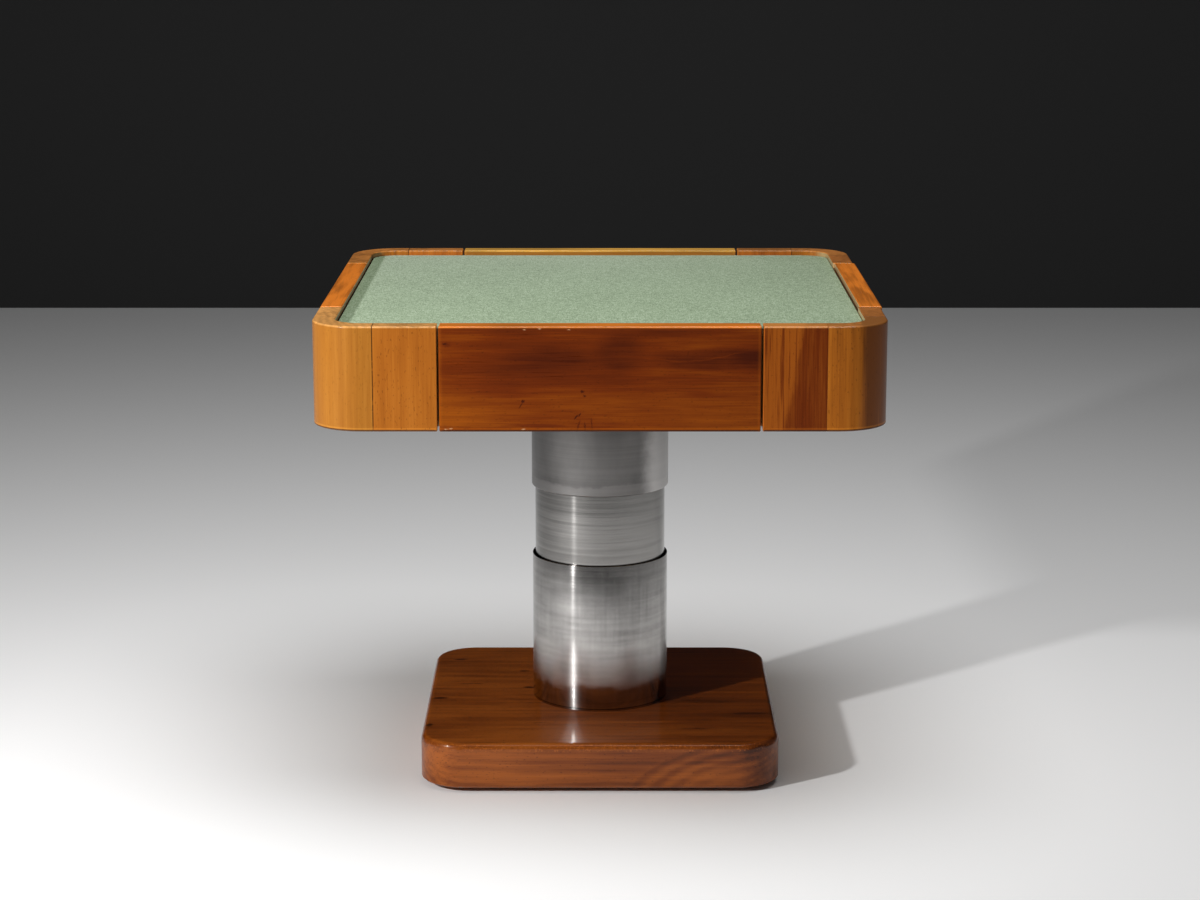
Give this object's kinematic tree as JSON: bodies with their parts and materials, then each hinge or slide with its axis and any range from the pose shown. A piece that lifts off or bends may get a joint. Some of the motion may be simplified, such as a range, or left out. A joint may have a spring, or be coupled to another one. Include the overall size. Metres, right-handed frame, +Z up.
{
  "type": "adjustable game table",
  "caption": "Square felt-topped game table with rounded corners, a drawer in each side, a telescoping screw column and a square pedestal base.",
  "frame": {"origin": "centre of the base on the floor, on the column's axis", "axes": "+Z up along the column; -Y is the front face of the table as seen in the picture; +X to the viewer's right"},
  "size_m": [0.855, 0.852, 0.76],
  "materials": {
    "post_front_left": "clear lacquer over solid wood, satin to gloss",
    "post_front_right": "clear lacquer over solid wood, satin to gloss",
    "post_back_left": "clear lacquer over solid wood, satin to gloss",
    "post_back_right": "clear lacquer over solid wood, satin to gloss",
    "stave_front_left": "clear lacquer over solid wood, satin to gloss",
    "stave_front_right": "clear lacquer over solid wood, satin to gloss",
    "stave_back_left": "clear lacquer over solid wood, satin to gloss",
    "stave_back_right": "clear lacquer over solid wood, satin to gloss",
    "stave_left_front": "clear lacquer over solid wood, satin to gloss",
    "stave_left_back": "clear lacquer over solid wood, satin to gloss",
    "stave_right_front": "clear lacquer over solid wood, satin to gloss",
    "stave_right_back": "clear lacquer over solid wood, satin to gloss",
    "front_drawer_face": "clear lacquer over solid wood, satin to gloss",
    "back_drawer_face": "clear lacquer over solid wood, satin to gloss",
    "left_drawer_face": "clear lacquer over solid wood, satin to gloss",
    "right_drawer_face": "clear lacquer over solid wood, satin to gloss",
    "base_slab": "clear lacquer over solid wood, satin to gloss",
    "plywood": "sanded plywood",
    "beech": "oiled",
    "felt": "woven table felt",
    "upper_sleeve": "smooth satin",
    "middle_sleeve": "finely turned",
    "lower_sleeve": "polished",
    "steel": "plain machined",
    "zinc": "zinc plated",
    "bronze": "machined bronze",
    "nylon": "natural",
    "foot_nylon": "black"
  },
  "bodies": {
    "base": {"base_slab": "base_slab", "feet": "foot_nylon", "column_flange": "steel", "flange_bolts": "zinc", "column_tube": "steel", "spindle_nut": "bronze", "guide_rods": "steel", "lower_sleeve": "lower_sleeve"},
    "carriage": {"middle_sleeve": "middle_sleeve", "carrier_plate": "steel", "middle_glide_pads": "nylon"},
    "top": {"post_front_left": "post_front_left", "post_front_right": "post_front_right", "post_back_left": "post_back_left", "post_back_right": "post_back_right", "stave_front_left": "stave_front_left", "stave_front_right": "stave_front_right", "stave_back_left": "stave_back_left", "stave_back_right": "stave_back_right", "stave_left_front": "stave_left_front", "stave_left_back": "stave_left_back", "stave_right_front": "stave_right_front", "stave_right_back": "stave_right_back", "deck_board": "plywood", "playing_board": "plywood", "floor_boards": "plywood", "bay_walls": "beech", "core_walls": "beech", "corner_battens": "beech", "drawer_runners": "beech", "stop_battens": "beech", "playing_felt": "felt", "upper_sleeve": "upper_sleeve", "spindle": "steel", "top_plate": "steel", "upper_glide_pads": "nylon"},
    "front_drawer": {"front_drawer_face": "front_drawer_face", "front_drawer_sides": "beech", "front_drawer_back": "beech", "front_drawer_bottom": "plywood"},
    "right_drawer": {"right_drawer_face": "right_drawer_face", "right_drawer_sides": "beech", "right_drawer_back": "beech", "right_drawer_bottom": "plywood"},
    "back_drawer": {"back_drawer_face": "back_drawer_face", "back_drawer_sides": "beech", "back_drawer_back": "beech", "back_drawer_bottom": "plywood"},
    "left_drawer": {"left_drawer_face": "left_drawer_face", "left_drawer_sides": "beech", "left_drawer_back": "beech", "left_drawer_bottom": "plywood"}
  },
  "joints": [
    {"name": "column_lift", "type": "slide", "parent": "base", "child": "carriage", "axis": [0, 0, 1], "range_m": [-0.11, 0.018]},
    {"name": "top_turn", "type": "hinge", "parent": "carriage", "child": "top", "pos_m": [0, 0, 0.559], "axis": [0, 0, 1], "range_deg": [-3300, 540]},
    {"name": "front_drawer_slide", "type": "slide", "parent": "top", "child": "front_drawer", "axis": [0, -1, 0], "range_m": [0, 0.12]},
    {"name": "right_drawer_slide", "type": "slide", "parent": "top", "child": "right_drawer", "axis": [1, 0, 0], "range_m": [-0.003, 0.117]},
    {"name": "back_drawer_slide", "type": "slide", "parent": "top", "child": "back_drawer", "axis": [0, 1, 0], "range_m": [0, 0.12]},
    {"name": "left_drawer_slide", "type": "slide", "parent": "top", "child": "left_drawer", "axis": [-1, 0, 0], "range_m": [0, 0.12]}
  ],
  "couplings": [
    {"joint": "column_lift", "follows": "top_turn", "m_per_rad": 0.0019099}
  ]
}
